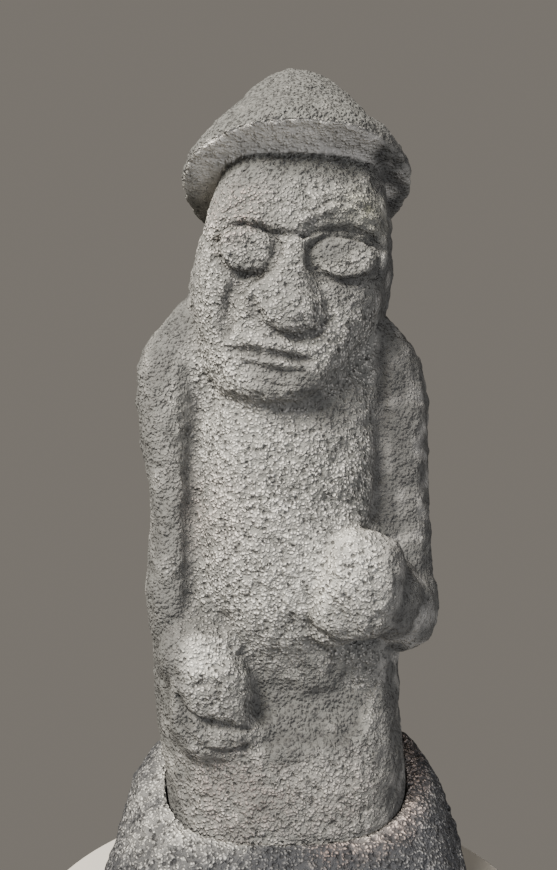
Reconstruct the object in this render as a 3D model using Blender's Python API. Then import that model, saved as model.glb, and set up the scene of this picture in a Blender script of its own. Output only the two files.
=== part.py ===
"""Stone guardian: a hatted figure carved from one block, standing in the socket of a rough base stone.

+Z is up and the figure faces -Y. The origin is on the ground, under the figure's axis. Sizes are in metres. The figure's
own forms are in hundredths of its height: x to the right as seen from the front, y to the back, and z up from the
underside of its foot. Left and right in names are as seen from the front.
"""

import math

import bmesh
import bpy
import numpy as np
from mathutils import Matrix, Vector, noise

# The figure and how it stands in the base stone.
figure_height = 1.963  # underside of the foot to the top of the hat
socket_depth = 0.14  # socket's floor up to the rim at the figure's sides
joint_width = 0.004  # open joint between the foot and the socket's wall
bedding_gap = 0.0003  # under the foot

# The base stone.
base_height = 0.41  # ground to the rim at the figure's sides
rim_width = 0.040  # stone round the socket's mouth
rim_fall = 0.39  # how far the rim falls for each metre towards the front
rim_rise = 0.12  # and rises for each metre towards the back
base_flare = 0.122  # how much further out the stone reaches at the ground than at the rim
base_roughness = 0.016  # height of its hewn lumps
base_lump = 0.14  # distance between lumps

# How finely the forms are modelled.
carving_cell = 0.008
softening_passes = 5
section_step = 0.7
figure_triangles = 7600
base_sides = 48
base_courses = 9

percent = figure_height / 100
seat_height = base_height - socket_depth

# The block, with its shoulders: height, then its reach to the left, right, front and back.
block = [
    (-3, 15.2, 15.9, 13.1, 11.4),
    (8, 15.5, 16.0, 13.2, 11.6),
    (13, 16.4, 15.5, 12.6, 11.9),
    (18, 16.9, 15.2, 11.2, 12.0),
    (25, 17.1, 15.2, 11.0, 12.2),
    (36, 16.9, 17.0, 9.4, 12.2),
    (45, 16.9, 18.3, 7.6, 12.3),
    (56, 18.5, 18.6, 6.8, 12.4),
    (61, 18.4, 18.1, 6.4, 12.0),
    (65, 16.6, 15.2, 5.6, 11.0),
    (68, 14.0, 11.5, 4.6, 9.6),
    (70.5, 10.0, 7.0, 3.0, 7.0),
]
block_squareness = 2.9

# Chest and belly, between the arms.
belly = [
    (20, 6.0, 6.0, 9.0, 2.0),
    (25, 9.4, 9.4, 12.0, 3.0),
    (31, 11.6, 12.2, 13.5, 4.0),
    (40, 12.0, 13.2, 13.3, 4.0),
    (49, 11.4, 13.4, 12.0, 4.0),
    (56, 10.0, 12.8, 10.4, 4.0),
    (62, 7.0, 10.4, 7.8, 2.0),
]
belly_squareness = 2.3

# The head, from chin to crown.
head = [
    (54.6, 6.4, 2.4, 12.9, 3.0),
    (55.6, 8.4, 5.0, 13.6, 6.0),
    (57.8, 9.8, 7.6, 13.7, 8.5),
    (61.4, 10.9, 10.2, 13.3, 10.2),
    (65, 11.8, 12.4, 12.6, 11.6),
    (70, 12.1, 14.0, 11.9, 12.4),
    (76, 11.0, 14.3, 11.7, 12.6),
    (81, 9.3, 13.8, 10.8, 12.0),
    (86, 7.9, 12.4, 8.3, 11.0),
    (91, 4.0, 8.0, 5.0, 7.0),
]
head_squareness = 2.9

# The hat, round an axis that leans back: height above the brim's edge, and the radius there.
hat = [
    (1.5, 7.0),
    (1.1, 10.0),
    (0.1, 13.2),
    (-0.4, 14.6),
    (0.4, 15.3),
    (2.2, 15.3),
    (3.8, 14.9),
    (5.4, 13.9),
    (7.4, 12.4),
    (9.4, 10.9),
    (11.4, 9.6),
    (13.6, 8.2),
    (15.8, 6.6),
    (17.6, 4.4),
    (18.5, 1.4),
]
hat_centre = (1.8, 0.3, 81.9)
hat_lean = 17  # degrees
hat_squareness = 2.1

# Arms down the sides and the nose's bridge: height, then centre x and y, half width and half depth.
left_arm = [
    (20, -12.8, -4.0, 3.2, 5.0),
    (28, -13.4, -2.4, 4.3, 7.6),
    (42, -13.6, -0.6, 3.9, 8.0),
    (54, -14.9, 0.4, 4.4, 7.9),
    (62, -14.4, 1.2, 4.4, 6.9),
    (67, -12.4, 2.0, 2.6, 4.4),
]
right_arm = [
    (25, 15.6, -1.0, 4.0, 6.4),
    (32, 15.3, 0.4, 4.6, 8.0),
    (44, 15.0, 2.2, 4.5, 8.0),
    (56, 14.8, 2.6, 4.6, 7.7),
    (62, 14.0, 2.6, 4.0, 6.2),
    (65, 12.8, 2.4, 2.6, 4.6),
]
bridge = [
    (64.0, 0.7, -11.0, 3.9, 3.4),
    (67, 0.2, -10.8, 3.9, 3.5),
    (69.5, 0.4, -10.7, 3.4, 3.0),
    (72.5, 1.1, -10.5, 2.5, 2.4),
    (75.6, 1.6, -10.3, 2.2, 1.7),
]
limb_squareness = 2.4

# Rounded masses: centre, half sizes, degrees turned clockwise as seen from the front, and how square they are.
masses = {
    "left_eye": ((-4.6, -10.2, 73.0), (4.1, 2.4, 3.3), 12, 2.4),
    "right_eye": ((7.7, -9.9, 72.0), (4.3, 2.4, 3.2), 3, 2.4),
    "nose_tip": ((1.0, -12.0, 65.2), (3.3, 2.9, 3.1), 0, 2.5),
    "left_wing": ((-3.2, -11.6, 66.4), (2.0, 1.9, 2.3), 0, 2.3),
    "right_wing": ((3.6, -11.3, 65.6), (1.9, 1.9, 2.3), 0, 2.3),
    "upper_lip": ((-1.0, -12.5, 61.4), (4.0, 1.1, 0.9), 7, 2.2),
    "lower_lip": ((-1.4, -12.8, 59.3), (4.0, 1.0, 0.9), 8, 2.2),
    "left_ear": ((-11.4, 1.8, 71.0), (1.2, 2.3, 4.6), 3, 2.4),
    "right_ear": ((13.4, 1.8, 70.8), (1.4, 2.3, 5.0), 3, 2.4),
    "elbow": ((14.2, -1.6, 28.6), (6.0, 8.4, 5.8), 4, 2.7),
    "forearm": ((12.0, -8.0, 30.4), (5.0, 6.0, 5.2), 24, 2.4),
    "upper_fist": ((9.2, -12.0, 32.4), (5.3, 4.4, 6.7), 14, 2.6),
    "upper_fingers": ((6.6, -12.3, 29.4), (3.4, 3.2, 4.6), 12, 2.4),
    "wrist": ((-10.0, -8.9, 23.6), (5.4, 4.0, 4.6), 10, 2.4),
    "lower_hand": ((-8.4, -10.4, 17.8), (5.5, 3.7, 7.2), -4, 2.8),
}

# Chisel strokes on the front: x and z of points along it, its half width and its depth. Below 0 it is a ridge.
strokes = {
    "left_brow": ([(-8.6, 74.7), (-7.0, 76.0), (-4.8, 76.2), (-2.2, 75.5), (0.6, 74.9), (2.4, 74.9)], 0.7, 0.6),
    "right_brow": ([(2.4, 74.9), (4.6, 75.9), (7.4, 76.1), (10.0, 75.4), (12.0, 73.8)], 0.7, 0.6),
    "left_brow_ridge": ([(-8.2, 77.0), (-6.0, 78.3), (-3.2, 77.9), (-0.2, 76.9), (2.0, 76.6)], 1.0, -0.3),
    "right_brow_ridge": ([(2.0, 76.6), (4.8, 77.8), (7.8, 78.2), (11.0, 77.2)], 1.0, -0.3),
    "left_fold": ([(-5.2, 69.6), (-6.0, 67.7), (-6.6, 65.4), (-6.9, 63.4)], 0.9, 0.5),
    "right_fold": ([(5.4, 68.0), (6.0, 65.6), (6.0, 63.0)], 0.9, 0.25),
    "nostril": ([(-4.1, 67.0), (-3.7, 66.0)], 0.5, 0.6),
    "mouth": ([(-5.2, 60.6), (-2.6, 60.5), (0.0, 59.9), (2.6, 59.2)], 0.5, 0.35),
    "chin_fold": ([(-4.6, 58.3), (-1.6, 57.9), (2.0, 57.1)], 0.6, 0.25),
    "left_arm": ([(-10.2, 56.0), (-11.4, 50.0), (-11.8, 42.0), (-11.6, 35.0), (-11.0, 29.4)], 1.5, 0.45),
    "right_arm": ([(12.4, 58.0), (13.2, 52.0), (13.4, 45.0), (13.0, 40.0)], 1.1, 0.25),
    "first_finger": ([(-12.4, 19.3), (-11.0, 16.9), (-8.3, 16.0), (-4.1, 15.6)], 0.6, 0.4),
    "second_finger": ([(-11.9, 16.6), (-10.1, 14.5), (-7.0, 13.2), (-4.1, 14.0)], 0.6, 0.4),
    "knuckles": ([(-10.9, 20.6), (-9.6, 21.0), (-7.6, 21.1)], 0.5, 0.3),
    "palm_side": ([(-5.0, 23.8), (-3.6, 22.0), (-3.0, 19.4), (-3.0, 16.6)], 1.0, 0.7),
    "under_fist": ([(3.4, 27.6), (5.6, 26.0), (8.6, 25.4), (12.0, 25.2)], 0.8, 0.4),
    "skirt_hollow": ([(-0.6, 18.4), (3.0, 17.6), (7.0, 17.8), (8.8, 20.4)], 3.2, 1.2),
    "skirt_edge": ([(-2.4, 12.0), (1.0, 12.4), (3.6, 13.0), (6.6, 12.2), (9.4, 13.8), (12.0, 18.0)], 1.2, -0.4),
}
eye_stroke = (0.6, 0.5)  # half width and depth of the stroke round each eye
eye_stroke_points = 16
full_depth_facing = 0.5  # a stroke has its whole depth where the skin faces the front at least so squarely


def smooth_through(places, values, at):
    """A smooth curve through values at places, read at each place in at."""
    places, values = np.asarray(places, float), np.asarray(values, float)
    slopes = np.gradient(values, places)
    i = np.clip(np.searchsorted(places, at, side="right") - 1, 0, len(places) - 2)
    span = places[i + 1] - places[i]
    t = (at - places[i]) / span
    start = (1 + 2 * t) * (1 - t) ** 2 * values[i] + t * (1 - t) ** 2 * span * slopes[i]
    end = t**2 * (3 - 2 * t) * values[i + 1] + t**2 * (t - 1) * span * slopes[i + 1]
    return start + end


def sampled(sections):
    """Smoothly interpolated sections, about a step apart."""
    columns = np.array(sections, float).T
    low, high = columns[0][0], columns[0][-1]
    heights = np.linspace(low, high, int((high - low) / section_step) + 2)
    return zip(heights, *(smooth_through(columns[0], column, heights) for column in columns[1:]))


def ring(left, right, front, back, squareness, sides=56):
    """The x and y of points round a superellipse whose reach differs on its four sides."""
    turn = np.linspace(0, 2 * math.pi, sides, endpoint=False)
    across, along = np.cos(turn), np.sin(turn)
    x = np.sign(across) * np.abs(across) ** (2 / squareness) * np.where(across > 0, right, left)
    y = np.sign(along) * np.abs(along) ** (2 / squareness) * np.where(along > 0, back, front)
    return x, y


def add_rings(bm, rings):
    """Skins a stack of rings of points, bottom to top, and closes both ends."""
    loops = [[bm.verts.new(point) for point in points] for points in rings]
    sides = len(loops[0])
    for low, high in zip(loops, loops[1:]):
        for i in range(sides):
            j = (i + 1) % sides
            bm.faces.new((low[i], low[j], high[j], high[i]))
    bm.faces.new(reversed(loops[0]))
    bm.faces.new(loops[-1])


def add_trunk(bm, sections, squareness):
    """A form on the figure's axis: each section is (height, left, right, front, back)."""
    rings = []
    for height, *reaches in sampled(sections):
        x, y = ring(*reaches, squareness)
        rings.append([Vector((px, py, height)) * percent for px, py in zip(x, y)])
    add_rings(bm, rings)


def add_limb(bm, sections):
    """A form off the axis: each section is (height, centre x, centre y, half width, half depth)."""
    rings = []
    for height, middle_x, middle_y, width, depth in sampled(sections):
        x, y = ring(width, width, depth, depth, limb_squareness)
        rings.append([Vector((px + middle_x, py + middle_y, height)) * percent for px, py in zip(x, y)])
    add_rings(bm, rings)


def add_mass(bm, centre, half_sizes, turn, squareness):
    """A rounded mass, turned clockwise as seen from the front."""
    place = (
        Matrix.Scale(percent, 4)
        @ Matrix.Translation(centre)
        @ Matrix.Rotation(math.radians(turn), 4, "Y")
        @ Matrix.Diagonal((*half_sizes, 1))
    )
    ball = bmesh.ops.create_uvsphere(bm, u_segments=32, v_segments=20, radius=1)
    for vert in ball["verts"]:
        vert.co = place @ Vector(math.copysign(abs(c) ** (2 / squareness), c) for c in vert.co)


def add_hat(bm):
    place = (
        Matrix.Scale(percent, 4)
        @ Matrix.Translation(hat_centre)
        @ Matrix.Rotation(math.radians(-hat_lean), 4, "X")
    )
    rings = []
    for height, radius in sampled(hat):
        x, y = ring(radius, radius, radius, radius, hat_squareness)
        rings.append([place @ Vector((px, py, height)) for px, py in zip(x, y)])
    add_rings(bm, rings)


def new_object(name, bm):
    """An object whose mesh is what bm holds."""
    mesh = bpy.data.meshes.new(name)
    bm.to_mesh(mesh)
    bm.free()
    made = bpy.data.objects.new(name, mesh)
    bpy.context.scene.collection.objects.link(made)
    return made


def take_evaluated(source):
    """What an object's modifiers give, as a bmesh. The object is then removed."""
    mesh = bpy.data.meshes.new_from_object(source.evaluated_get(bpy.context.evaluated_depsgraph_get()))
    bpy.data.objects.remove(source)
    bm = bmesh.new()
    bm.from_mesh(mesh)
    return bm


def fused_forms():
    """The carved forms as one soft-edged skin."""
    bm = bmesh.new()
    add_trunk(bm, block, block_squareness)
    add_trunk(bm, belly, belly_squareness)
    add_trunk(bm, head, head_squareness)
    for limb in (left_arm, right_arm, bridge):
        add_limb(bm, limb)
    for mass in masses.values():
        add_mass(bm, *mass)
    add_hat(bm)
    forms = new_object("forms", bm)
    fuse = forms.modifiers.new("fuse", "REMESH")
    fuse.mode = "VOXEL"
    fuse.voxel_size = carving_cell
    soften = forms.modifiers.new("soften", "SMOOTH")
    soften.factor = 0.5
    soften.iterations = softening_passes
    return take_evaluated(forms)


def eye_outline(name):
    """Points round an eye, as x and z."""
    (middle_x, _, middle_z), (width, _, height), turn, _ = masses[name]
    cos, sin = math.cos(math.radians(turn)), math.sin(math.radians(turn))
    points = []
    for i in range(eye_stroke_points + 1):
        angle = 2 * math.pi * i / eye_stroke_points
        along, up = width * math.cos(angle), height * math.sin(angle)
        points.append((middle_x + along * cos + up * sin, middle_z - along * sin + up * cos))
    return points


def distance_to_path(places, path):
    """How far each x and z in places is from a line through the points of path."""
    nearest = np.full(len(places), np.inf)
    for start, end in zip(np.array(path[:-1], float), np.array(path[1:], float)):
        run = end - start
        share = np.clip(((places - start) @ run) / (run @ run), 0, 1)
        nearest = np.minimum(nearest, np.linalg.norm(places - start - share[:, None] * run, axis=1))
    return nearest


def carve(bm):
    """Works the chisel strokes into the front of the skin."""
    bm.normal_update()
    points = np.array([vert.co for vert in bm.verts])
    normals = np.array([vert.normal for vert in bm.verts])
    facing = np.clip(-normals[:, 1] / full_depth_facing, 0, 1) * (points[:, 1] < 0)
    places = points[:, [0, 2]] / percent
    cuts = list(strokes.values()) + [(eye_outline(eye), *eye_stroke) for eye in ("left_eye", "right_eye")]
    depth = np.zeros(len(points))
    for path, width, deep in cuts:
        depth += deep * np.exp(-((distance_to_path(places, path) / width) ** 2))
    for vert, inward in zip(bm.verts, normals * (depth * facing * percent)[:, None]):
        vert.co -= Vector(inward)


def stone(name, colour, roughness):
    made = bpy.data.materials.new(name)
    made.use_nodes = True
    shader = made.node_tree.nodes["Principled BSDF"]
    shader.inputs["Base Color"].default_value = (*colour, 1)
    shader.inputs["Roughness"].default_value = roughness
    shader.inputs["Metallic"].default_value = 0
    return made


def make_figure():
    """The figure, in few triangles and cut flat under its foot."""
    bm = fused_forms()
    carve(bm)
    thin_ratio = figure_triangles / (2 * len(bm.faces))
    skin = new_object("skin", bm)
    skin.modifiers.new("thin", "DECIMATE").ratio = thin_ratio
    bm = take_evaluated(skin)
    everything = bm.verts[:] + bm.edges[:] + bm.faces[:]
    cut = bmesh.ops.bisect_plane(bm, geom=everything, plane_co=(0, 0, 0), plane_no=(0, 0, -1), clear_outer=True)
    foot_edges = [element for element in cut["geom_cut"] if isinstance(element, bmesh.types.BMEdge)]
    bmesh.ops.contextual_create(bm, geom=foot_edges)
    figure = new_object("figure", bm)
    figure.location.z = seat_height + bedding_gap
    figure.data.materials.append(stone("basalt", (0.40, 0.38, 0.35), 0.9))


def foot_reach():
    """The furthest that the foot reaches to its four sides inside the socket, in metres."""
    columns = np.array(block, float).T
    heights = np.linspace(0, socket_depth / percent, 5)
    return [smooth_through(columns[0], column, heights).max() * percent for column in columns[1:]]


def base_course(spread, height, lie, roughness):
    """A ring of the base stone, spread outwards from the foot. Lie is how far it follows the rim's fall and rise."""
    points = []
    for x, y in zip(*ring(*(reach + spread for reach in foot_reach()), block_squareness, base_sides)):
        lump = noise.noise(Vector((x, y, height)) / base_lump) * base_roughness * roughness
        level = height + lie * y * (rim_fall if y < 0 else rim_rise)
        points.append(Vector((x, y, level)) + Vector((x, y, 0)).normalized() * lump)
    return points


def make_base():
    """A mound whose rim falls to the front, with a socket that follows the foot."""
    mouth = joint_width + rim_width
    courses = []
    for share in np.linspace(0, 0.94, base_courses):
        flare = base_flare * (1 - share**2) ** 0.8
        courses.append(base_course(mouth + flare, share * base_height, share**1.5, 1))
    courses.append(base_course(joint_width + rim_width * 0.6, base_height, 1, 0.6))
    courses.append(base_course(joint_width, base_height, 1, 0))
    courses.append(base_course(joint_width, seat_height, 0, 0))
    bm = bmesh.new()
    add_rings(bm, courses)
    base = new_object("base_stone", bm)
    base.data.shade_smooth()
    base.data.set_sharp_from_angle(angle=math.radians(50))
    base.data.materials.append(stone("dark_basalt", (0.20, 0.20, 0.20), 0.92))


for leftover in list(bpy.data.objects):
    bpy.data.objects.remove(leftover)
make_figure()
make_base()
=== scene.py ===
# A hewn basalt guardian on its base stone, in a plain studio. Metres, +Z up, the figure faces -Y.
import math

import bmesh
import bpy
import numpy as np
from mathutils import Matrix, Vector, noise
from mathutils.bvhtree import BVHTree


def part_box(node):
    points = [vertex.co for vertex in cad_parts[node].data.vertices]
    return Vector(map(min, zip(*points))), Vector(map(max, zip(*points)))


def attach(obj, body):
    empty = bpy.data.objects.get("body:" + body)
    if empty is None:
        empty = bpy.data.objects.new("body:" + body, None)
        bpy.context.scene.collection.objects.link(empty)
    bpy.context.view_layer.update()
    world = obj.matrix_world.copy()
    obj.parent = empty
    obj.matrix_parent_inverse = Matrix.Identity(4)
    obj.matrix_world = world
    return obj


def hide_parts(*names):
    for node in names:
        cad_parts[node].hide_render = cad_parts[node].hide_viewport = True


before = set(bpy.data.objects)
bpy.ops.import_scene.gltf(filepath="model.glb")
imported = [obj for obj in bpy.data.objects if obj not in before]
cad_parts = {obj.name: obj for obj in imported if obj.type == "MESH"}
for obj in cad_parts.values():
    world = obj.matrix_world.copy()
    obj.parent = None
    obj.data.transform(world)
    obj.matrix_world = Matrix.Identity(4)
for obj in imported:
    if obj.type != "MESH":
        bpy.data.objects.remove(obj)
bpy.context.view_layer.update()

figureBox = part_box("figure")
footLevel = figureBox[0][2]
percent = (figureBox[1][2] - footLevel) / 100  # the carving is placed in hundredths of the figure's height


def srgb(code, alpha=1.0):
    # a hex colour as the linear value that shaders take
    parts = [int(code[i:i + 2], 16) / 255 for i in (1, 3, 5)]
    return tuple(c / 12.92 if c <= 0.04045 else ((c + 0.055) / 1.055) ** 2.4 for c in parts) + (alpha,)


def addNode(tree, kind, settings=None, **inputs):
    # one node: its settings, then each input as a link from an output or as a plain value
    node = tree.nodes.new(kind)
    for name, value in (settings or {}).items():
        setattr(node, name, value)
    for name, value in inputs.items():
        socket = node.inputs[int(name[1:]) if name[1:].isdigit() else name.replace("_", " ")]
        if isinstance(value, bpy.types.NodeSocket):
            tree.links.new(value, socket)
        else:
            socket.default_value = value
    return node


def newMaterial(name):
    made = bpy.data.materials.new(name)
    made.use_nodes = True
    made.node_tree.nodes.clear()
    return made, made.node_tree


print("camera and lights")

view = {
    "imageWidth": 557,
    "imageHeight": 870,
    "focalPixels": 850,
    "distance": 2.25,  # from the figure's axis
    "sideways": -0.012,
    "belowHatTop": 0.9720,
}


def addCamera():
    lens = bpy.data.cameras.new("photoCamera")
    lens.sensor_width = 36
    # the image's long side takes the sensor's width
    lens.lens = view["focalPixels"] / max(view["imageWidth"], view["imageHeight"]) * lens.sensor_width
    camera = bpy.data.objects.new("photoCamera", lens)
    bpy.context.scene.collection.objects.link(camera)
    camera.location = (view["sideways"], -view["distance"], figureBox[1][2] - view["belowHatTop"])
    camera.rotation_euler = (math.radians(90), 0, 0)
    bpy.context.scene.camera = camera


studio = {
    "backdropColour": "#7b766f",
    "backdropStrength": 1.0,
    "floorColour": "#cfcac0",
    "floorRadius": 0.66,
    "floorThickness": 0.05,
    "key": {
        "place": (-3.1, -3.2, 5.4),
        "aim": (0.0, 0.0, 1.2),
        "size": 3.0,
        "power": 1330,
        "colour": "#fffaf2",
    },
    "fill": {
        "place": (1.7, -3.7, 0.6),
        "aim": (0.0, 0.0, 1.4),
        "size": 2.6,
        "power": 100,
        "colour": "#f4f7ff",
    },
}


def addLamp(name):
    look = studio[name]
    lamp = bpy.data.lights.new(name, "AREA")
    lamp.shape = "DISK"
    lamp.size = look["size"]
    lamp.energy = look["power"]
    lamp.color = srgb(look["colour"])[:3]
    made = bpy.data.objects.new(name, lamp)
    bpy.context.scene.collection.objects.link(made)
    made.location = look["place"]
    made.rotation_euler = (Vector(look["aim"]) - Vector(look["place"])).to_track_quat("-Z", "Y").to_euler()


def addStudio():
    world = bpy.data.worlds.new("studioGrey")
    bpy.context.scene.world = world
    world.use_nodes = True
    background = world.node_tree.nodes["Background"]
    background.inputs["Color"].default_value = srgb(studio["backdropColour"])
    background.inputs["Strength"].default_value = studio["backdropStrength"]

    addLamp("key")
    addLamp("fill")

    bm = bmesh.new()
    bmesh.ops.create_cone(bm, cap_ends=True, segments=96, depth=studio["floorThickness"],
                          radius1=studio["floorRadius"], radius2=studio["floorRadius"])
    bmesh.ops.translate(bm, verts=bm.verts, vec=(0, 0, -studio["floorThickness"] / 2))
    mesh = bpy.data.meshes.new("paleFloor")
    bm.to_mesh(mesh)
    bm.free()
    floor = bpy.data.objects.new("paleFloor", mesh)
    bpy.context.scene.collection.objects.link(floor)
    paint, tree = newMaterial("mattPaint")  # plain pale paint, so the floor stays quiet
    shader = addNode(tree, "ShaderNodeBsdfPrincipled", Roughness=0.8)
    shader.inputs["Base Color"].default_value = srgb(studio["floorColour"])
    addNode(tree, "ShaderNodeOutputMaterial", Surface=shader.outputs["BSDF"])
    mesh.materials.append(paint)


addCamera()
addStudio()

print("stone")

stone = {
    "figure": {
        "light": "#dcd8d0",  # worn skin, bleached by weather
        "mid": "#b3b0ab",
        "deep": "#63635f",  # the grey of the hollows, partly painted shade
        "pore": "#3a3937",  # the inside of a pore, also used as painted shade in grooves and low places
        "patchMm": 150,  # across the weathered patches
    },
    "base": {
        "light": "#8f8e8d",
        "mid": "#505153",
        "deep": "#333437",
        "pore": "#242426",
        "patchMm": 90,
    },
    "beadMm": 8.5,  # spacing of the crust's beads, and of the pores among them
    "beadHeightMm": 6.0,
    "poreShare": 0.17,  # of the beads, how many are pores
    "poreDepthMm": 7.0,
    "poreColour": 0.8,  # how much of it a pore shows
    "wanderMm": 14.0,  # the bends in the beads' rows are so long,
    "wanderByMm": 9.0,  # and go this far
    "crustMm": 19.0,  # across the crust's lumps and hollows
    "crustHeightMm": 19.0,
    "grainMm": 4.5,  # mineral grain, drawn a little coarser than it is so that it shows
    "grainHeightMm": 1.6,
    "wornAndLit": "#f3f0e6",  # rubbed and bleached stone, and painted light
    "weatherAndShade": "#434241",  # dark grey: weathered stone, and painted shade
    "lichen": "#bdbd94",
    "iron": "#cdab9e",  # pinkish iron stain
    "quiet": 0.6,  # how much less calm stone shows its hollows,
    "paleQuiet": 0.3,  # how much less stone under the pale mark does,
    "level": 0.5,  # and how much less relief calm stone has
    "roughness": (0.82, 0.97),
}


def basalt(name, tones):
    # vesicular basalt, hewn with a point and weathered: a matt grey crust of beads and pores, paler where it
    # stands out (partly bleached, partly painted highlight) and dark where it lies deep (partly painted shade)
    made, tree = newMaterial(name)
    maths, slope, mix = "ShaderNodeMath", "ShaderNodeMapRange", "ShaderNodeMix"
    times = {"operation": "MULTIPLY"}
    timesPlus = {"operation": "MULTIPLY_ADD"}
    rgb = {"data_type": "RGBA"}
    soft = {"interpolation_type": "SMOOTHSTEP"}
    where = addNode(tree, "ShaderNodeTexCoord").outputs["Object"]
    noises = [  # name, size, detail and roughness
        ("wander", stone["wanderMm"], 1.0, 0.6),
        ("crust", stone["crustMm"], 3.0, 0.6),
        ("grain", stone["grainMm"], 1.0, 0.6),
        ("patch", tones["patchMm"], 4.0, 0.65),
    ]
    fields = {}
    for field, size, detail, roughness in noises:
        fields[field] = addNode(tree, "ShaderNodeTexNoise", Vector=where, Scale=1000 / size, Detail=detail,
                                Roughness=roughness)
    crust, grain, patch = (fields[field].outputs["Fac"] for field in ("crust", "grain", "patch"))
    marks = {}
    for mark in ("lichen", "iron", "weatherAndShade", "wornAndLit", "calm", "hollowDirtAndShade"):
        marks[mark] = addNode(tree, "ShaderNodeAttribute", {"attribute_name": mark}).outputs["Fac"]

    # beads in bent rows, with a pore in place of one here and there
    shift = addNode(tree, "ShaderNodeVectorMath", timesPlus, _0=fields["wander"].outputs["Color"],
                    _1=(stone["wanderByMm"] / 1000,) * 3, _2=where).outputs["Vector"]
    cell = addNode(tree, "ShaderNodeTexVoronoi", Vector=shift, Scale=1000 / stone["beadMm"])
    away = cell.outputs["Distance"]
    pick = addNode(tree, "ShaderNodeSeparateColor", Color=cell.outputs["Color"]).outputs["Red"]
    isPore = addNode(tree, slope, soft, Value=pick, From_Min=stone["poreShare"] + 0.04,
                     From_Max=stone["poreShare"] - 0.04).outputs["Result"]
    isBead = addNode(tree, maths, {"operation": "SUBTRACT"}, _0=1.0, _1=isPore).outputs["Value"]
    poreFall = addNode(tree, slope, soft, Value=away, From_Min=0.75, From_Max=0.25).outputs["Result"]
    beadFall = addNode(tree, slope, soft, Value=away, From_Min=0.66, From_Max=0.10).outputs["Result"]
    pore = addNode(tree, maths, times, _0=poreFall, _1=isPore).outputs["Value"]
    bead = addNode(tree, maths, times, _0=beadFall, _1=isBead).outputs["Value"]

    # relief in metres, less of it where the stone is calm
    relief = addNode(tree, maths, times, _0=crust, _1=stone["crustHeightMm"] / 1000).outputs["Value"]
    forms = [(bead, stone["beadHeightMm"]), (pore, -stone["poreDepthMm"]), (grain, stone["grainHeightMm"])]
    for form, heightMm in forms:
        relief = addNode(tree, maths, timesPlus, _0=form, _1=heightMm / 1000, _2=relief).outputs["Value"]
    level = addNode(tree, maths, timesPlus, _0=marks["calm"], _1=-stone["level"], _2=1.0).outputs["Value"]
    relief = addNode(tree, maths, times, _0=relief, _1=level).outputs["Value"]

    # colour: weathered patches, stains, and painted light and shade, then the grey of the crust's hollows and
    # the dark of pores, partly painted shade
    weathered = addNode(tree, slope, soft, Value=patch, From_Min=0.36, From_Max=0.62).outputs["Result"]
    layers = [(weathered, tones["light"])]
    layers += [(marks[tint], stone[tint]) for tint in ("lichen", "iron", "weatherAndShade", "wornAndLit")]
    tip = addNode(tree, maths, times, _0=grain, _1=0.5).outputs["Value"]
    for form, share in ((crust, 1.2), (bead, 0.55)):
        tip = addNode(tree, maths, timesPlus, _0=form, _1=share, _2=tip).outputs["Value"]
    deep = addNode(tree, slope, soft, Value=tip, From_Min=1.44, From_Max=0.86).outputs["Result"]
    loud = addNode(tree, maths, timesPlus, _0=marks["calm"], _1=-stone["quiet"], _2=1.0).outputs["Value"]
    shown = addNode(tree, maths, timesPlus, _0=marks["wornAndLit"], _1=-stone["paleQuiet"], _2=loud).outputs["Value"]
    low = addNode(tree, maths, times, _0=deep, _1=shown).outputs["Value"]
    dark = addNode(tree, maths, times, _0=pore, _1=stone["poreColour"]).outputs["Value"]
    dark = addNode(tree, maths, times, _0=dark, _1=loud).outputs["Value"]
    dark = addNode(tree, maths, {"operation": "MAXIMUM"}, _0=dark, _1=marks["hollowDirtAndShade"]).outputs["Value"]
    layers += [(low, tones["deep"]), (dark, tones["pore"])]
    colour = srgb(tones["mid"])
    for share, tone in layers:
        colour = addNode(tree, mix, rgb, Factor=share, _6=colour, _7=srgb(tone)).outputs[2]

    bump = addNode(tree, "ShaderNodeBump", Height=relief, Distance=1.0, Strength=1.0)
    shader = addNode(tree, "ShaderNodeBsdfPrincipled", Base_Color=colour, Normal=bump.outputs["Normal"])
    rough = addNode(tree, slope, Value=grain, To_Min=stone["roughness"][0], To_Max=stone["roughness"][1])
    tree.links.new(rough.outputs["Result"], shader.inputs["Roughness"])
    addNode(tree, "ShaderNodeOutputMaterial", Surface=shader.outputs["BSDF"])
    return made


print("figure")

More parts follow.
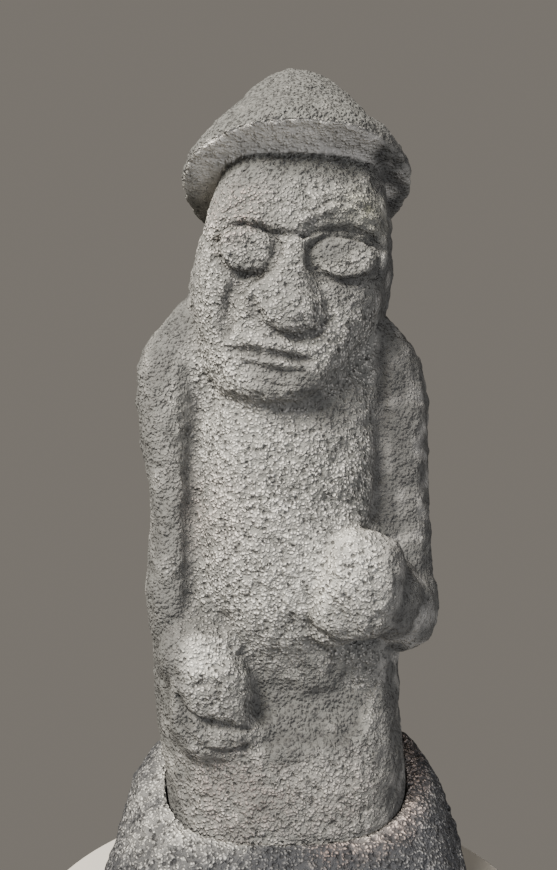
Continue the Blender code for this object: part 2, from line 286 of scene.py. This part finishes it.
# Places on the figure are in hundredths of its height: x to the right as seen from the front, y to the back,
# z up from the underside of its foot. Left and right are as seen from the front.
figure = {
    "cell": 0.0042,  # the skin's mesh, in metres
    "quickCell": 0.008,
    "softening": 6,  # passes that take the facets off
    "faces": 194000,
    "lumps": [(0.070, 0.0060), (0.028, 0.0048), (0.014, 0.0026)],  # distance between lumps, and their height
    "poreSpacing": 0.019,
    "poreReach": 0.0058,
    "poreDepth": 0.0040,
    "broken": [  # rougher places: centre, reach and how much more
        ((9.0, -17.0, 31.5), 5.5, 1.6),
        ((-9.0, -12.0, 21.0), 5.0, 0.5),
    ],
    "eyes": [((-4.5, 73.1), (3.95, 3.15), 12), ((7.5, 72.1), (4.5, 2.95), 3)],  # centre, half sizes and turn
    "eyeGroove": (0.12, 0.5),  # half width, as a share of the eye, and depth
    "eyeFlatness": 0.45,  # how far the middle of each eye is set back
    "eyeShoulder": 0.2,  # how far the ring inside its edge stands out
    "sides": {"from": 10.5, "to": 13.0, "weatherAndShade": 1.4, "lessPale": 0.6, "calm": 0.15},  # arms and sides: darker as weathered stone, and as painted shade on the shaded right side; calmer most on the right
    "back": {"from": 0.0, "to": 4.0, "weatherAndShade": 0.8},
    "hat": {"from": 80.0, "to": 84.0, "weatherAndShade": 1.6, "lessPale": 0.8},
    "brimPaintedLight": 0.35,  # painted light on the brim's underside, more on the left
    "hollowDirtAndShade": {"pits": 0.6, "low": 0.30, "carving": 1.1, "deepest": 0.4},  # how dark pores, low places and carved grooves are: partly dirt, partly painted shade
    "stainsLightAndShade": [  # which, how strong, centre and reach
        # pale: partly rubbed stone, partly painted light on the lit faces of the fist, wrist, foot and lower
        # left edge, and on the left of chest, belly and face
        ("wornAndLit", 1.30, (6.9, -14.5, 36.5), 6.5),
        ("wornAndLit", 0.70, (3.0, -16.0, 31.5), 4.5),
        ("wornAndLit", 0.20, (9.0, -16.0, 31.0), 6.0),
        ("wornAndLit", 1.30, (-9.6, -12.0, 24.0), 4.5),
        ("wornAndLit", 0.90, (-14.6, -6.0, 9.5), 3.5),
        ("wornAndLit", 0.60, (4.5, -12.0, 9.5), 5.0),
        ("wornAndLit", 0.50, (-7.5, -10.0, 50.0), 13.0),
        ("wornAndLit", 0.55, (-3.0, -13.0, 34.0), 13.0),
        ("wornAndLit", 0.25, (-4.0, -12.0, 60.0), 8.0),
        # dark: a broad grey over the head, painted shade on the right of the face, and the mouth and chin
        # darker
        ("weatherAndShade", 0.25, (1.0, -6.0, 70.0), 24.0),
        ("weatherAndShade", 1.1, (8.0, -13.0, 72.0), 8.0),
        ("weatherAndShade", 1.2, (-0.5, -15.5, 57.0), 7.0),
        # weathered stone and painted shade in the recess below the belly
        ("weatherAndShade", 0.60, (0.5, -11.0, 15.5), 5.5),
        ("weatherAndShade", 0.60, (6.5, -11.0, 17.0), 6.5),
        # painted shadow of the chin on the chest
        ("weatherAndShade", 0.75, (6.0, -9.0, 53.5), 7.0),
        # darker towards the bottom, by the fingers and in the recess below the belly, partly painted shade
        ("weatherAndShade", 0.65, (0.0, -12.0, 6.0), 20.0),
        ("weatherAndShade", 0.9, (4.0, -11.0, 17.5), 10.0),
        ("weatherAndShade", 0.50, (-1.0, -10.0, 21.0), 7.0),
        ("weatherAndShade", 0.60, (-9.0, -12.0, 15.5), 6.0),
        # painted shade under the fist
        ("weatherAndShade", 0.50, (9.0, -13.0, 27.0), 7.0),
        ("lichen", 0.60, (10.6, -9.0, 78.0), 6.5),
        ("lichen", 0.35, (6.0, -12.0, 72.5), 5.0),
        ("lichen", 0.30, (4.0, -9.0, 92.0), 6.0),
        ("iron", 0.40, (-6.0, -11.0, 78.0), 7.0),
        ("iron", 0.35, (-9.0, -10.0, 41.0), 9.0),
        ("iron", 0.40, (-6.0, -13.0, 7.0), 9.0),
        ("iron", 0.50, (-14.6, -6.0, 9.5), 4.0),
        ("iron", 0.30, (5.0, -13.0, 8.0), 9.0),
    ],
}

# Chisel strokes on the front: x and z of points along it, half width and depth. Below 0 it is a ridge.
strokes = {
    "leftBrowFill": ([(-8.0, 75.0), (-6.0, 76.2), (-3.6, 76.4), (-1.0, 75.6), (2.4, 75.0)], 0.9, -0.7),
    "rightBrowFill": ([(2.4, 75.0), (4.6, 76.0), (7.4, 76.3), (10.4, 75.6)], 0.9, -0.35),
    "leftBrow": ([(-8.4, 73.4), (-7.5, 75.3), (-6.2, 76.2), (-4.2, 76.4)], 0.40, 0.55),
    "innerBrow": ([(-4.2, 76.4), (-2.4, 76.1), (-0.9, 75.0)], 0.5, 0.25),
    "browShade": ([(-0.8, 75.2), (2.4, 74.7)], 0.7, 0.2),
    "rightBrow": (
        [(2.4, 74.6), (4.7, 75.3), (7.4, 75.8), (9.4, 75.6), (10.9, 75.1), (12.2, 73.8)], 0.42, 0.55),
    "leftBrowRidge": ([(-7.6, 77.2), (-5.6, 77.7), (-3.0, 77.4), (-0.4, 76.5)], 0.6, -0.3),
    "rightBrowRidge": ([(3.0, 76.6), (5.4, 78.0), (8.0, 78.2), (10.6, 77.2)], 0.6, -0.4),
    "browCrease": ([(-7.4, 77.9), (-5.6, 78.9), (-3.6, 79.3)], 0.35, 0.45),
    "rightBrowCrease": ([(4.0, 77.9), (5.6, 79.2), (8.2, 79.2), (10.6, 78.2)], 0.4, 0.35),
    "noseLeft": (
        [(-0.8, 73.6), (-1.6, 71.4), (-2.6, 70.0), (-4.2, 68.9), (-5.0, 67.2), (-4.4, 65.4), (-2.8, 64.0)],
        0.4, 0.45),
    "noseRight": ([(3.8, 73.4), (3.7, 70.6), (4.4, 68.8), (5.6, 67.0), (5.6, 64.8), (4.4, 63.4)], 0.4, 0.25),
    "leftFold": ([(-6.0, 68.8), (-6.7, 67.6), (-7.2, 66.0), (-7.5, 63.2)], 0.9, 1.05),
    "nostril": ([(-4.0, 66.2), (-3.2, 64.9)], 0.75, 0.6),
    "noseUnder": ([(-2.8, 63.9), (-0.8, 62.5), (1.6, 61.9), (3.9, 62.8)], 0.5, 0.45),
    "mouth": ([(-6.2, 60.9), (-4.0, 60.5), (-2.2, 59.9), (-0.4, 60.0), (2.3, 59.4), (3.2, 59.5)], 0.5, 0.50),
    "lowerMouth": ([(-4.8, 59.0), (-3.0, 58.5), (-1.3, 58.2), (1.1, 57.9), (2.4, 58.1)], 0.42, 0.35),
    "underMouth": ([(-3.4, 57.0), (-0.5, 56.3), (1.4, 56.3)], 0.35, 0.25),
    "lips": ([(-4.2, 61.5), (-1.2, 60.9), (2.4, 60.3)], 0.5, -0.25),
    "firstFinger": ([(-12.8, 19.2), (-11.6, 17.4), (-9.4, 16.4), (-6.3, 15.6), (-3.8, 15.2)], 0.34, 0.65),
    "secondFingerFill": ([(-11.9, 16.6), (-10.1, 14.5), (-7.0, 13.2), (-4.1, 14.0)], 0.6, -0.35),
    "secondFinger": ([(-12.4, 16.8), (-11.4, 14.9), (-9.6, 13.4), (-7.3, 12.6), (-4.4, 13.2)], 0.36, 0.45),
    "fingerTip1": ([(-10.0, 16.6), (-9.2, 15.4), (-8.9, 13.4)], 0.28, 0.35),
    "fingerTip2": ([(-7.2, 15.8), (-6.3, 14.6), (-6.0, 13.0)], 0.28, 0.3),
    "fingerHollow": ([(-12.0, 17.4), (-11.2, 15.9)], 0.6, 0.5),
    "knuckles": ([(-10.6, 20.6), (-9.6, 21.0), (-7.8, 20.8)], 0.34, 0.3),
    "overWrist": ([(-11.6, 27.6), (-7.6, 27.4)], 1.5, 0.8),
    "palmSide": ([(-5.0, 23.8), (-3.6, 22.0), (-3.0, 19.4), (-3.0, 16.6)], 0.6, 0.3),
    "underFist": ([(3.4, 27.6), (5.6, 26.0), (8.6, 25.4), (12.0, 25.2)], 0.6, 0.4),
    "leftArm": ([(-11.0, 54.7), (-11.6, 48.7), (-11.7, 40.3), (-11.5, 33.2), (-11.6, 28.4)], 0.9, 0.55),
    "rightArm": ([(12.5, 61.3), (12.8, 54.7), (12.5, 47.5), (11.8, 40.3)], 0.8, 0.55),
    "hem": (
        [(-2.0, 13.6), (1.0, 14.4), (3.4, 13.6), (4.8, 14.6), (6.4, 13.4), (8.6, 15.0), (10.6, 18.4)],
        0.5, 0.35),
}

# Between foot and socket, in metres: there is no relief inside the joint.
joint = {"width": 0.005, "clear": 0.014, "top": 0.50, "closed": 0.0028}
# On both stones, sizes in metres.
weather = {"mottleSize": 0.05, "passes": 24, "standing": 0.006, "wornAndLit": 0.3}


def skinOf(name, node, cell, passes):
    # a fine soft copy of a solid's surface, as an object
    source = bpy.data.objects[node]
    made = bpy.data.objects.new(name, source.data.copy())
    bpy.context.scene.collection.objects.link(made)
    made.data.transform(source.matrix_world)
    fuse = made.modifiers.new("fuse", "REMESH")
    fuse.mode = "VOXEL"
    fuse.voxel_size = cell
    soften = made.modifiers.new("soften", "SMOOTH")
    soften.factor = 0.5
    soften.iterations = passes
    applyModifiers(made)
    return made


def applyModifiers(made):
    mesh = bpy.data.meshes.new_from_object(made.evaluated_get(bpy.context.evaluated_depsgraph_get()))
    made.modifiers.clear()
    made.data = mesh


def readVector(mesh, what):
    values = np.empty(len(mesh.vertices) * 3, np.float32)
    mesh.vertices.foreach_get(what, values)
    return values.reshape(-1, 3).astype(float)


def between(values, start, end):
    # 0 up to start, 1 from end on
    return np.clip((values - start) / (end - start), 0, 1)


def noiseAt(points, size, seed):
    places = points / size + seed
    return np.array([noise.noise(place) for place in places.tolist()])


def lumpsAt(points, lumps, seed):
    return sum(noiseAt(points, size, seed + i) * height for i, (size, height) in enumerate(lumps))


def poresAt(points, spacing, reach, seed):
    # 1 at the middle of a pore, 0 outside it, with a size of its own for each pore
    depth = np.zeros(len(points))
    for i, place in enumerate((points / spacing + seed).tolist()):
        distances, centres = noise.voronoi(place)
        size = 0.68 + 0.32 * noise.cell(centres[0] * 7.3)
        near = distances[0] * spacing / (reach * size)
        if near < 1:
            depth[i] = (1 - near * near) * size
    return depth


def softened(mesh, values, passes):
    # each value shared out over its neighbours, a number of times
    ends = np.empty(len(mesh.edges) * 2, np.int32)
    mesh.edges.foreach_get("vertices", ends)
    first, second = ends.reshape(-1, 2).T
    count = np.bincount(ends, minlength=len(values)).clip(1)
    for _ in range(passes):
        near = np.bincount(first, values[second], len(values))
        near += np.bincount(second, values[first], len(values))
        values = (values + near / count) / 2
    return values


def bulge(mesh, passes):
    # how far each point stands out of the skin round it, in metres
    points, normals = readVector(mesh, "co"), readVector(mesh, "normal")
    flat = np.column_stack([softened(mesh, points[:, axis], passes) for axis in range(3)])
    return ((points - flat) * normals).sum(axis=1)


def fade(points, centre, reach):
    # 1 near centre, 0 from reach on, which is longer in y so that marks reach what stands out
    away = np.linalg.norm((points - centre) * (1, 0.4, 1), axis=1) / reach
    share = between(away, 1.0, 0.2)
    return share * share * (3 - 2 * share)


def stainsLightAndShadeAt(points, places, stainsLightAndShade):
    # how strong each stain, painted light and painted shade is at each point, and the mottle that breaks them
    # up
    mottle = 0.75 + noiseAt(points, weather["mottleSize"], 8.4) * 0.7
    marks = {name: np.zeros(len(points)) for name in ("weatherAndShade", "lichen", "iron", "wornAndLit")}
    for name, strength, centre, reach in stainsLightAndShade:
        marks[name] += fade(places, centre, reach) * strength * mottle
    return marks, mottle


def distanceToPath(places, path):
    nearest = np.full(len(places), np.inf)
    for start, end in zip(np.array(path[:-1], float), np.array(path[1:], float)):
        run = end - start
        share = np.clip(((places - start) @ run) / (run @ run), 0, 1)
        nearest = np.minimum(nearest, np.linalg.norm(places - start - share[:, None] * run, axis=1))
    return nearest


def distanceToEye(places, centre, halfSizes, turn):
    # 0 at the middle of the eye and 1 at its edge
    turn = math.radians(turn)  # clockwise
    x, z = (places - centre).T
    along = x * math.cos(turn) - z * math.sin(turn)
    up = x * math.sin(turn) + z * math.cos(turn)
    return np.hypot(along / halfSizes[0], up / halfSizes[1])


def carvingAt(points, normals):
    # how deep the carving goes at each point of the front, in hundredths
    facing = between(-normals[:, 1], 0, 0.5) * (points[:, 1] < 0)
    places = points[:, [0, 2]]
    depth = np.zeros(len(points))
    fill = np.zeros(len(points))
    for path, width, deep in strokes.values():
        stroke = deep * np.exp(-((distanceToPath(places, path) / width) ** 2))
        depth = np.maximum(depth, stroke)
        fill = np.minimum(fill, stroke)
    halfWidth, deep = figure["eyeGroove"]
    for eye in figure["eyes"]:
        away = distanceToEye(places, *eye)
        depth = np.maximum(depth, deep * np.exp(-(((away - 1) / halfWidth) ** 2)))
        fill += figure["eyeFlatness"] * np.clip(1 - away * away, 0, 1)
        fill -= figure["eyeShoulder"] * np.exp(-(((away - 0.78) / 0.15) ** 2))
    return depth * facing, fill * facing


def distanceTo(node, points):
    # how far the points below joint["top"] are from a piece's solid
    solid = bpy.data.objects[node]
    tree = BVHTree.FromPolygons([solid.matrix_world @ vert.co for vert in solid.data.vertices],
                                [tuple(face.vertices) for face in solid.data.polygons])
    away = np.full(len(points), np.inf)
    for i in np.flatnonzero(points[:, 2] < joint["top"]):
        away[i] = tree.find_nearest(points[i])[3]
    return away


def clearing(away):
    # 0 inside the joint, 1 from joint["clear"] away
    return between(away, joint["width"], joint["clear"])


def inHundredths(points):
    return (points - (0, 0, footLevel)) / percent


def finish(made, depth, marks, faces, material, box):
    # moves the skin in by depth, keeps the marks for the colour, thins the mesh and keeps it inside the box
    mesh = made.data
    points, normals = readVector(mesh, "co"), readVector(mesh, "normal")
    points -= normals * depth[:, None]
    mesh.vertices.foreach_set("co", points.astype(np.float32).ravel())
    mesh.update()
    for name, values in marks.items():
        layer = mesh.attributes.new(name, "FLOAT", "POINT")
        layer.data.foreach_set("value", np.clip(values, 0, 1).astype(np.float32))
    count = sum(len(face.vertices) - 2 for face in mesh.polygons)
    if count > faces:
        made.modifiers.new("thin", "DECIMATE").ratio = faces / count
        applyModifiers(made)
    points = np.clip(readVector(made.data, "co"), box[0], box[1])
    made.data.vertices.foreach_set("co", points.astype(np.float32).ravel())
    made.data.shade_smooth()
    made.data.materials.clear()
    made.data.materials.append(material)


def makeFigure():
    cell = figure["cell"]
    made = skinOf("guardianFigure", "figure", cell, figure["softening"])
    points, normals = readVector(made.data, "co"), readVector(made.data, "normal")
    places = inHundredths(points)
    carving, fill = carvingAt(places, normals)
    clear = clearing(distanceTo("base_stone", points))
    rough = np.ones(len(points))
    for centre, reach, more in figure["broken"]:
        rough += fade(places, centre, reach) * more
    hewn = lumpsAt(points, figure["lumps"], 3.1)
    pits = poresAt(points, figure["poreSpacing"], figure["poreReach"], 11.7)
    depth = (carving + fill) * percent + (hewn + pits * figure["poreDepth"]) * rough * clear

    marks, mottle = stainsLightAndShadeAt(points, places, figure["stainsLightAndShade"])
    x, y, z = places.T
    upward = between(normals[:, 2], 0, 1 / 3)
    darkShare = np.clip(marks["weatherAndShade"], 0, 1)
    sides = between(np.abs(x), figure["sides"]["from"], figure["sides"]["to"])
    back = between(y, figure["back"]["from"], figure["back"]["to"])
    hat = between(z, figure["hat"]["from"], figure["hat"]["to"])
    brim = hat * between(-normals[:, 2], 0, 1 / 3)  # its underside
    marks["wornAndLit"] *= 1 - sides * figure["sides"]["lessPale"]
    # darker sides and back; on the shaded right side this is painted shade
    marks["weatherAndShade"] += np.maximum(sides * figure["sides"]["weatherAndShade"], back * figure["back"]["weatherAndShade"]) * mottle
    # the hat's upward faces darker
    marks["weatherAndShade"] += hat * upward * figure["hat"]["weatherAndShade"] * mottle
    # painted light on the brim's underside, more on the left
    marks["wornAndLit"] += brim * between(x, 12, -8) * figure["brimPaintedLight"]
    # calmer colour with fewer dark hollows under the brim, on the shaded right side and where the stone is
    # darkened: painted softening of the shade
    marks["calm"] = np.maximum(brim, sides * np.clip(x / 6, figure["sides"]["calm"], 1))
    marks["calm"] = np.maximum(marks["calm"], marks["weatherAndShade"] * 0.5 * (1 - hat))
    standing = bulge(made.data, weather["passes"])
    marks["wornAndLit"] += between(standing, 0, weather["standing"]) * weather["wornAndLit"]
    marks["wornAndLit"] *= (1 - darkShare * 0.6) * (1 - hat * (1 - brim) * figure["hat"]["lessPale"])
    # darker in pores, low places and carved grooves: partly dirt, partly painted shade
    marks["hollowDirtAndShade"] = pits * rough * figure["hollowDirtAndShade"]["pits"]
    marks["hollowDirtAndShade"] += between(-standing, 0, weather["standing"]) * figure["hollowDirtAndShade"]["low"]
    marks["hollowDirtAndShade"] += np.clip(carving, 0, figure["hollowDirtAndShade"]["deepest"]) * figure["hollowDirtAndShade"]["carving"]
    finish(made, depth, marks, figure["faces"], basalt("hewnBasalt", stone["figure"]), figureBox)
    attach(made, "root")
    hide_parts("figure")


print("base stone")

base = {
    "cell": 0.0052,
    "quickCell": 0.009,
    "softening": 5,
    "faces": 150000,
    "lumps": [(0.075, 0.0070), (0.030, 0.0050), (0.015, 0.0032)],
    "poreSpacing": 0.022,
    "poreReach": 0.0080,
    "poreDepth": 0.0055,
    "lip": 0.055,  # how far the pale lip reaches out from the foot; on the right it is painted light
    "leftLipPale": 0.7,
    "rightLipPaintedLight": 0.4,
    "rightLipIronAndLight": 1.4,
    "hollowDirtAndShade": {"pits": 0.5, "low": 0.35},
    "stainsLightAndShade": [
        # paler on the left and darker at the front and right: partly weathering, partly painted light and shade
        ("wornAndLit", 0.6, (-17.5, -8.0, 2.0), 6.5),
        ("wornAndLit", 0.4, (-12.0, -18.0, 0.0), 6.0),
        ("weatherAndShade", 0.5, (10.0, -18.0, -2.0), 12.0),
        ("weatherAndShade", 0.5, (0.0, -20.0, 0.0), 9.0),
    ],
}


def makeBase():
    cell = base["cell"]
    made = skinOf("baseStone", "base_stone", cell, base["softening"])
    points, normals = readVector(made.data, "co"), readVector(made.data, "normal")
    places = inHundredths(points)
    hewn = lumpsAt(points, base["lumps"], 5.3)
    pits = poresAt(points, base["poreSpacing"], base["poreReach"], 2.9)
    depth = hewn + pits * base["poreDepth"]

    # the socket's wall faces the foot: it stays smooth, and comes in a little to close the joint
    inward = -(points[:, :2] * normals[:, :2]).sum(axis=1) / np.linalg.norm(points[:, :2], axis=1)
    away = distanceTo("figure", points)
    clear = clearing(away)
    wall = (1 - clear) * between(inward, 0, 0.5) * (points[:, 2] > footLevel + joint["width"])
    depth = depth * clear - wall * joint["closed"]

    marks, mottle = stainsLightAndShadeAt(points, places, base["stainsLightAndShade"])
    x = places[:, 0]
    # the lip's upward faces: paler on the left; on the right painted light where the figure's shadow falls,
    # with its pink iron stain made stronger for it
    lip = np.clip(1.3 - away / base["lip"], 0, 1) * between(normals[:, 2], 0, 0.5) * mottle
    marks["wornAndLit"] += lip * between(x, -2, -7) * base["leftLipPale"]
    marks["wornAndLit"] += lip * between(x, 5, 9) * base["rightLipPaintedLight"]
    marks["iron"] += lip * between(x, 2, 6) * base["rightLipIronAndLight"]
    standing = bulge(made.data, weather["passes"])
    marks["wornAndLit"] += between(standing, 0, weather["standing"]) * weather["wornAndLit"]
    # darker in pores and low places: partly dirt, partly painted shade
    marks["hollowDirtAndShade"] = pits * base["hollowDirtAndShade"]["pits"]
    marks["hollowDirtAndShade"] += between(-standing, 0, weather["standing"]) * base["hollowDirtAndShade"]["low"]
    finish(made, depth, marks, base["faces"], basalt("moundBasalt", stone["base"]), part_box("base_stone"))
    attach(made, "root")
    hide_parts("base_stone")


makeFigure()
makeBase()
